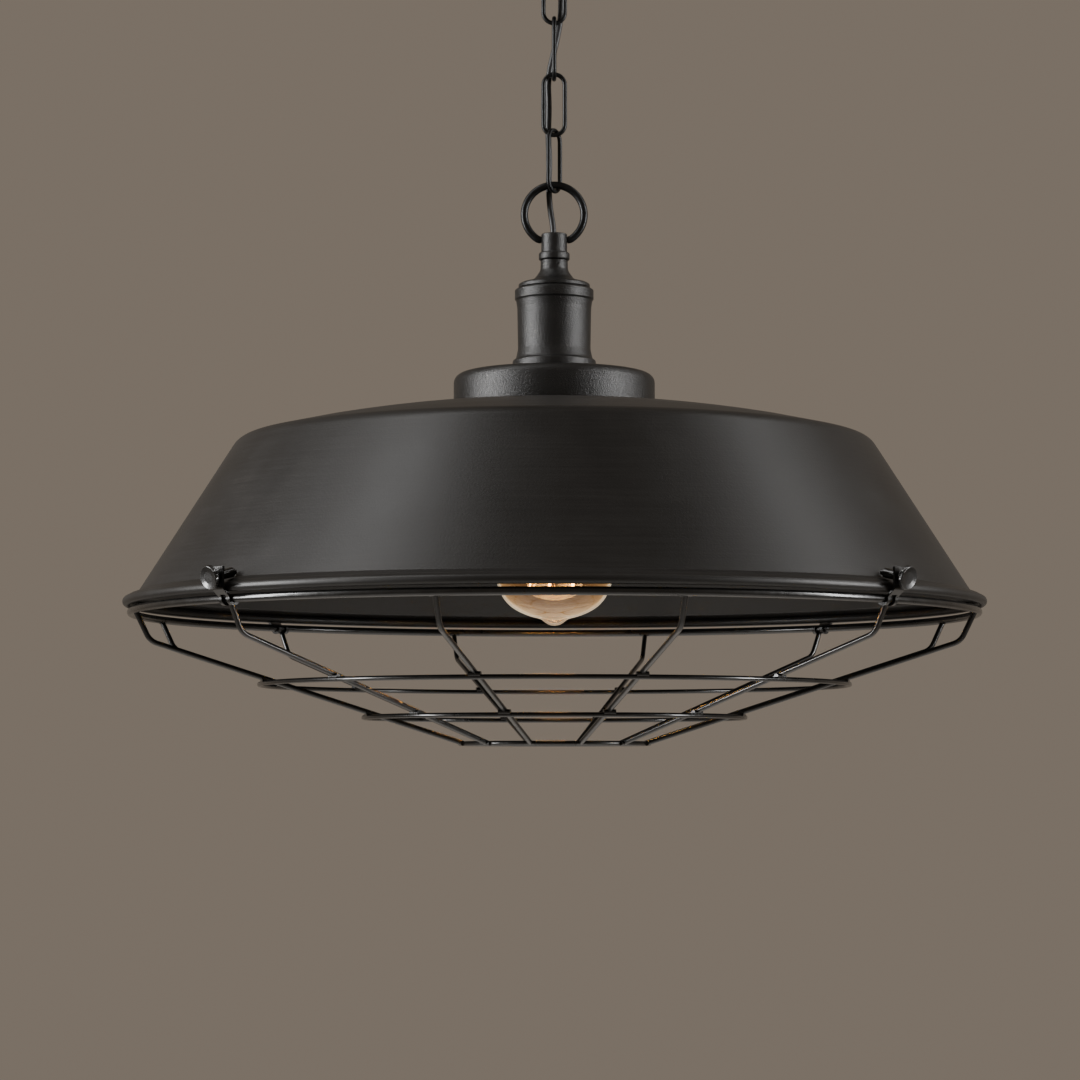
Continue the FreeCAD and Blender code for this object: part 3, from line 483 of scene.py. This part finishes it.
def guard_tree():
    """Ribs and hoops: the rib's line is made a wire and repeated round the axis."""
    tree = bpy.data.node_groups.new("guard_ribs", "GeometryNodeTree")
    tree.interface.new_socket("Rib", in_out="INPUT", socket_type="NodeSocketGeometry")
    names = {
        "Count": add_group_input(tree, "Count", "NodeSocketInt", 12),
        "Wire": add_group_input(tree, "Wire", "NodeSocketFloat", 0.0014),
        "Start": add_group_input(tree, "Start", "NodeSocketFloat", math.radians(15)),
    }
    tree.interface.new_socket("Ribs", in_out="OUTPUT", socket_type="NodeSocketGeometry")
    nodes, link = tree.nodes, tree.links.new
    entry, leave = nodes.new("NodeGroupInput"), nodes.new("NodeGroupOutput")
    circle = nodes.new("GeometryNodeCurvePrimitiveCircle")
    circle.inputs["Resolution"].default_value = 14
    link(entry.outputs["Wire"], circle.inputs["Radius"])
    line = nodes.new("GeometryNodeMeshToCurve")
    link(entry.outputs["Rib"], line.inputs["Mesh"])
    tube = nodes.new("GeometryNodeCurveToMesh")
    tube.inputs["Fill Caps"].default_value = True
    link(line.outputs["Curve"], tube.inputs["Curve"])
    link(circle.outputs["Curve"], tube.inputs["Profile Curve"])
    spots = nodes.new("GeometryNodeMeshLine")
    spots.inputs["Offset"].default_value = (0, 0, 0)
    link(entry.outputs["Count"], spots.inputs["Count"])
    index = nodes.new("GeometryNodeInputIndex")
    share = nodes.new("ShaderNodeMath")
    share.operation = "DIVIDE"
    link(index.outputs[0], share.inputs[0])
    link(entry.outputs["Count"], share.inputs[1])
    angle = nodes.new("ShaderNodeMath")
    angle.operation = "MULTIPLY_ADD"
    angle.inputs[1].default_value = math.tau
    link(share.outputs[0], angle.inputs[0])
    link(entry.outputs["Start"], angle.inputs[2])
    turn = nodes.new("ShaderNodeCombineXYZ")
    link(angle.outputs[0], turn.inputs["Z"])
    copies = nodes.new("GeometryNodeInstanceOnPoints")
    link(spots.outputs["Mesh"], copies.inputs["Points"])
    link(tube.outputs["Mesh"], copies.inputs["Instance"])
    link(turn.outputs["Vector"], copies.inputs["Rotation"])
    real = nodes.new("GeometryNodeRealizeInstances")
    link(copies.outputs["Instances"], real.inputs["Geometry"])
    paint = nodes.new("GeometryNodeSetMaterial")
    paint.inputs["Material"].default_value = GLOSS
    link(real.outputs["Geometry"], paint.inputs["Geometry"])
    link(paint.outputs["Geometry"], leave.inputs["Ribs"])
    return tree, names


def repeated(name, points, tree, names, **values):
    """A line of points, worked through the rib tree into one mesh."""
    mesh = bpy.data.meshes.new(name)
    mesh.from_pydata(points, [(at, at + 1) for at in range(len(points) - 1)], [])
    piece = new_piece(name, mesh)
    ribs = piece.modifiers.new("ribs", "NODES")
    ribs.node_group = tree
    for key, value in values.items():
        ribs[names[key]] = value
    return settled(piece)


def make_guard():
    """Twelve bent ribs and four hoops, with a bead of weld wherever a rib meets a hoop."""
    tree, names = guard_tree()
    gauges = {"guard_ring": 2.1, "guard_hoop_upper": 1.25, "guard_hoop_lower": 1.25, "guard_hoop_end": 1.25}
    inward = {"guard_ring": 0.6, "guard_hoop_end": -1.3}
    weld_gauges = {"guard_hoop_end": 1.2}
    depth, end_radius, butt = 69, 50, 0.95
    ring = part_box("guard_ring")
    ring_radius = ring[1][0] / MM - gauges["guard_ring"]
    ring_level = ((ring[0][2] + ring[1][2]) / 2 - LEVEL) / MM
    knee = (ring_radius - 8, ring_level - 16.4)
    slope = (knee[1] - ring_level + depth) / (knee[0] - end_radius)
    foot = (end_radius + butt, ring_level - depth + butt * slope)
    run = rounded([(ring_radius, ring_level), (*knee, 9), foot], 10)
    line = [(point[0] * MM, 0, LEVEL + point[1] * MM) for point in run]
    tip = Vector(line[-1]) - Vector(line[-2])
    line.append(tuple(Vector(line[-1]) + tip.normalized() * 0.6 * MM))
    pieces = [repeated("rib_wires", line, tree, names, Wire=1.4 * MM)]
    for node, gauge in gauges.items():
        low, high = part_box(node)
        radius, level = high[0] / MM - gauge, ((low[2] + high[2]) / 2 - LEVEL) / MM
        section = [(radius + gauge * math.cos(a), level + gauge * math.sin(a))
                   for a in (math.tau * step / 16 for step in range(16))]
        pieces.append(lathe(node + "_wire", section, True, 192))
        rib_level = foot[1] + (radius - foot[0]) * slope if node != "guard_ring" else level - 1.6
        bead = Vector((radius - inward.get(node, 0), 0, (level + rib_level) / 2))
        line = [(bead + Vector(offset)) * MM + Vector((0, 0, LEVEL)) for offset in
                ((0, -3.1, 0), (0, -1.6, 0.1), (0, 0, 0.15), (0, 1.6, 0.1), (0, 3.1, 0))]
        weld_gauge = weld_gauges.get(node, 1.5)
        pieces.append(repeated(node + "_welds", [tuple(spot) for spot in line], tree, names,
                               Wire=weld_gauge * MM))
    nodes = [*gauges, *[f"guard_rib_{number:02d}" for number in range(1, 13)]]
    finished(joined("guard", pieces), "lamp", "wire_black", GLOSS, *nodes, smooth=60)


# ---------------------------------------------------------------- chain, ring and ceiling fitting

def stadium(half_width, half_length, corner_steps=14):
    """A closed line with straight sides and round ends, in metres, about the origin."""
    points = []
    for sign in (1, -1):
        for step in range(corner_steps + 1):
            angle = math.pi * step / corner_steps
            points.append(Vector((sign * half_width * math.cos(angle), 0,
                                  sign * (half_length - half_width + half_width * math.sin(angle)))))
        for share in (0.25, 0.5, 0.75):
            side = Vector((-sign * half_width, 0, sign * (half_length - half_width)))
            points.append(side * (1 - share) + Vector((side.x, 0, -side.z)) * share)
    return points


def make_chain():
    """Bent-wire links, each with the slight swelling of its butt weld half way down one side."""
    gauge, half_width, weld = 1.2 * MM, 5.8 * MM, 16
    turns = (0, 90, 0, 57)
    for number, turn in enumerate(turns, 1):
        node = f"chain_link_{number}"
        low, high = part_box(node)
        centre = Vector([(a + b) / 2 for a, b in zip(low, high)])
        line = stadium(half_width, (high[2] - low[2]) / 2 - gauge)
        radii = [1.1 if at == weld else 1.0 for at in range(len(line))]
        spin = Matrix.Rotation(math.radians(turn), 3, "Z")
        points = [spin @ point + centre for point in line]
        link = wire(f"link_{number}_wire", points, gauge, closed=True, sides=12, radii=radii)
        finished(link, f"link_{number}", "chain_black", GUNMETAL, node, smooth=60)


def make_canopy():
    """Pressed ceiling cover with a raised seat for the loop and a softly turned rim."""
    top = -LEVEL / MM
    base = top - 30
    cover = [(5.2, base), (9.2, base, 0.5), (9.2, base + 0.6), (12, base + 0.3, 2), (57, base, 6),
             (60.2, base + 4, 6), (62, base + 14, 20), (62, top - 0.2), (61, top - 0.2), (61, base + 14, 20),
             (59.3, base + 4.5, 5), (56.6, base + 1, 5), (5.2, base + 1)]
    cover = lathe("ceiling_cover", rounded(cover, 6, True), True)
    finished(cover, "ceiling_fitting", "chain_black", GUNMETAL, "canopy")


# ---------------------------------------------------------------- bulb

def make_bulb():
    """Drawn glass with its sealed tip, the rolled screw cap, the glowing filament and its supports."""
    outside = [(0, -11.3), (2.6, -10.9), (4.8, -9.7), (6.6, -8.3), (8.6, -7.4), (11.5, -6.7), (15.3, -5.4),
               (20.2, -3.1), (24.4, 0.0), (28.0, 4.6), (30.6, 11), (31.9, 19), (31.8, 28), (30.2, 40),
               (26.9, 54), (22.6, 68), (18.2, 81), (14.9, 92), (13.2, 100), (12.4, 104), (11.8, 107),
               (11.8, 112)]
    glass = thicken(lathe("bulb_envelope", flowing(outside, 6), turns=144), 0.8)
    finished(glass, "bulb", "clear_glass", GLASS, "bulb_glass", smooth=60)
    low, high = 105.3, 126.3
    turn_count, lead = 5, 3.63
    profile = [(12.6, low)]
    for step in range(turn_count * 8 + 1):
        level = low + 1.2 + lead * step / 8
        profile.append((12.75 + 0.35 * math.cos(math.tau * step / 8), min(level, high - 0.8)))
    profile = profile[:38] + [(12.6, high - 0.9), (11.4, high), (10.9, high), (10.9, high - 0.5)]
    cap = thicken(lathe("bulb_screw_cap", profile, turns=96), 0.35)
    finished(cap, "bulb", "bulb_nickel", NICKEL, "bulb_cap", smooth=60)
    make_filament()


def make_filament():
    """A squirrel cage of hot wire strung between two crowns of hooks."""
    runs = 12
    spots = []
    for number in range(runs + 1):
        angle = math.radians(20 + 320 * number / runs)
        radius, level = (15, 6.5) if number % 2 else (9, 70)
        spots.append(Vector((radius * math.cos(angle) * MM, radius * math.sin(angle) * MM,
                             LEVEL + level * MM)))
    line = []
    for start, end in zip(spots, spots[1:]):
        line += [start.lerp(end, share) for share in (0.0, 0.012, 0.25, 0.5, 0.75, 0.988)]
    line.append(spots[-1])
    hot = wire("hot_wire", line, 0.28 * MM, sides=6)
    finished(hot, "bulb", "filament", GLOW, "bulb_filament", smooth=80)
    arms = []
    for at, spot in enumerate(spots):
        low = at % 2
        hub = Vector((0, 0, LEVEL + (23 if low else 74) * MM))
        out = (spot - hub).normalized()
        curl = Vector((0, 0, 0.9 * MM * (1 if low else -1)))
        bends = [hub, hub.lerp(spot, 0.5), spot, spot + out * 1.2 * MM, spot + curl + out * 0.5 * MM]
        arms.append(wire(f"arm_{at}", bends, 0.32 * MM, sides=6))
    finished(joined("hooks", arms), "bulb", "support_wire", LEAD_WIRE, "bulb_supports", smooth=80)
    stem = [(0, 22), (2.4, 22, 1.6), (3.4, 24.5, 1), (2.6, 28, 3), (2.6, 70, 3), (3.6, 76, 2), (3.4, 84, 6),
            (7.0, 100, 12), (10.6, 109, 2), (10.6, 111), (0, 111)]
    stem = lathe("stem_glass", rounded(stem, 5), turns=48)
    finished(stem, "bulb", "clear_glass", GLASS, "bulb_stem", smooth=60)


# ---------------------------------------------------------------- thumb screws

def make_knobs():
    """Thumb-screw heads: a waisted hub and a thick milled disc, dished on its face."""
    outline = rounded([(1.55, 1.7), (3.3, 1.7, 0.4), (3.45, 2.3, 0.4), (2.9, 3.6, 0.8), (5.3, 4.05, 0.4),
                       (5.95, 4.4, 0.4), (5.95, 6.2, 0.35), (5.5, 6.6, 0.3), (4.7, 6.45, 0.5),
                       (3.0, 6.2, 1.0), (0, 6.15)], 4)

    def milling(angle, point):
        return 0.016 * math.cos(40 * angle) - 0.016 if point[0] > 5.7 else 0

    turns = {joint["name"]: joint for joint in frame["joints"]}
    for number in range(1, 5):
        turn = turns[f"knob_{number}_turn"]
        lean = Vector((0, 0, 1)).rotation_difference(Vector(turn["axis"]))
        knob = lathe(f"knob_{number}_head", outline, turns=160, swell=milling)
        knob.data.transform(Matrix.Translation((0, 0, -LEVEL)))
        knob.data.transform(Matrix.Translation(turn["pos_m"]) @ lean.to_matrix().to_4x4())
        finished(knob, f"knob_{number}", "wire_black", GLOSS, f"thumb_knob_{number}")


# ---------------------------------------------------------------- flex

def make_flex():
    """The flex, in one stretch for each joint that it crosses."""
    stops = [(13, 0, 383.5), (13, 0, 369.5), (9.4, 2.4, 357.5), (4.5, 3.5, 346.5), (3.9, 3.7, 333.5),
             (3.6, 3.2, 318.9), (0.2, 2.0, 303), (-3.5, 3.2, 287.3), (-2.7, 3.5, 271.8), (-3.3, 3.2, 256.7),
             (-2.5, 3.2, 242), (-3.0, 4.2, 227.8), (-2.2, 2.6, 214.8), (0, 0, 202.5), (0, 0, 180)]
    radius = 1.6 * MM
    curve = bpy.data.curves.new("flex_line", "CURVE")
    curve.dimensions = "3D"
    curve.resolution_u = 16
    line = curve.splines.new("NURBS")
    line.points.add(len(stops) - 1)
    for at, (x, y, up) in enumerate(stops):
        line.points[at].co = (x * MM, y * MM, LEVEL + up * MM, 1)
    line.order_u = 3
    line.use_endpoint_u = True
    route = settled(new_piece("flex_line", curve))
    points = [vertex.co.copy() for vertex in route.data.vertices]
    bpy.data.objects.remove(route)
    joints = {joint["name"]: joint for joint in frame["joints"]}
    crossings = [(f"link_{number}_swing", "ceiling_fitting" if number == 1 else f"link_{number - 1}",
                  f"link_{number}") for number in range(1, 5)]
    crossings += [("ring_swing", "link_4", "ring"), ("lamp_swing", "ring", "lamp")]
    levels = [joints[name]["pos_m"][2] for name, _, _ in crossings]
    cuts = [points[0].z + 1, *[(a + b) / 2 for a, b in zip(levels, levels[1:])], points[-1].z - 1]
    overlap, bend_half = 2.2 * MM, 9 * MM
    for number, (name, above, below) in enumerate(crossings, 1):
        top, bottom = cuts[number - 1] + overlap, cuts[number] - overlap
        path = [point for point in points if bottom <= point.z <= top]
        piece = wire(f"flex_{number}", path, radius, sides=12)
        finished(piece, None, "cord_black", FLEX, "supply_cord", smooth=60)
        middle = levels[number - 1]
        middle + bend_half
        middle - bend_half
        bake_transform(piece)


# ---------------------------------------------------------------- carried-over CAD nodes

def finish_nodes():
    """Materials of the CAD nodes that stay as they are."""
    materials = {
        "ceiling_bracket": ZINC, "canopy_loop": GUNMETAL, "cord_bush": FLEX, "loop_ring": GUNMETAL,
        "neck": CAST, "neck_nut": ZINC, "shade_nut_ring": ZINC, "socket_body": PORCELAIN,
        "socket_shell": BRASS, "socket_contact": BRASS, "terminal_screws": ZINC,
        "bulb_insulator": BLACK_GLASS, "bulb_contact": ZINC,
    }
    for number in range(1, 5):
        materials[f"clamp_bracket_{number}"] = GLOSS
        materials[f"thumb_stud_{number}"] = GLOSS
    for name, material in materials.items():
        for held in NODES[name].material_slots:
            held.material = material


# ---------------------------------------------------------------- stage

def add_light(name, spot, aim, size, power):
    lamp = bpy.data.lights.new(name, "AREA")
    lamp.shape = "RECTANGLE"
    lamp.size, lamp.size_y = size
    lamp.energy = power
    holder = bpy.data.objects.new(name, lamp)
    bpy.context.collection.objects.link(holder)
    holder.location = spot
    holder.rotation_euler = (Vector(aim) - Vector(spot)).to_track_quat("-Z", "Y").to_euler()


def make_stage():
    """Pale floor well below the lamp, soft boxes above and beside it, and the bulb's own warm light."""
    half = 6
    corners = [(-half, -half, 0), (half, -half, 0), (half, half, 0), (-half, half, 0)]
    mesh = bpy.data.meshes.new("floor")
    mesh.from_pydata(corners, [], [(0, 1, 2, 3)])
    floor = new_piece("floor", mesh)
    floor.location.z = FLOOR
    pale = Finish("pale_floor", Base_Color=(0.62, 0.59, 0.55, 1), Roughness=0.8)
    mesh.materials.append(pale.material)
    world = bpy.data.worlds.new("studio")
    bpy.context.scene.world = world
    world.use_nodes = True
    back = world.node_tree.nodes["Background"]
    back.inputs["Color"].default_value = (0.66, 0.55, 0.44, 1)
    back.inputs["Strength"].default_value = 0.3
    aim, neck = (0, 0, LEVEL + 0.04), (0, 0, LEVEL + 0.2)
    add_light("left_box", (-0.95, -0.3, LEVEL + 1.5), aim, (0.4, 1.0), 9)
    add_light("right_box", (1.15, 0.1, LEVEL + 1.3), aim, (0.3, 0.8), 3.5)
    add_light("left_side", (-1.45, -0.3, LEVEL + 0.35), neck, (0.3, 1.1), 42)
    add_light("right_side", (1.45, -0.4, LEVEL + 0.35), neck, (0.25, 1.1), 30)
    add_light("floor_light", (0, 0.4, LEVEL - 0.35), (0, 0.4, FLOOR), (1.6, 1.6), 9)
    glow = bpy.data.lights.new("bulb_light", "POINT")
    glow.energy = 5
    glow.color = (1.0, 0.58, 0.24)
    glow.shadow_soft_size = 0.02
    holder = bpy.data.objects.new("bulb_light", glow)
    bpy.context.collection.objects.link(holder)
    holder.location = (0, 0, LEVEL + 0.03)
    holder.visible_camera = False
    holder.visible_transmission = False


def make_camera():
    """A long lens a little below the rim, looking slightly up."""
    lens = bpy.data.cameras.new("camera")
    lens.lens = 100
    lens.sensor_width = 36
    camera = bpy.data.objects.new("camera", lens)
    bpy.context.collection.objects.link(camera)
    distance, drop, side = 1.61, 0.086, -0.0077
    turn, tilt = math.radians(-0.5), math.radians(90 + 4.29)
    spot = Matrix.Rotation(turn, 3, "Z") @ Vector((side, -distance, 0))
    camera.location = (spot.x, spot.y, LEVEL - drop)
    camera.rotation_euler = (tilt, 0, turn)
    bpy.context.scene.camera = camera


make_camera()
make_flex()
make_shade()
make_holder()
make_guard()
make_chain()
make_canopy()
make_bulb()
make_knobs()
finish_nodes()
make_stage()
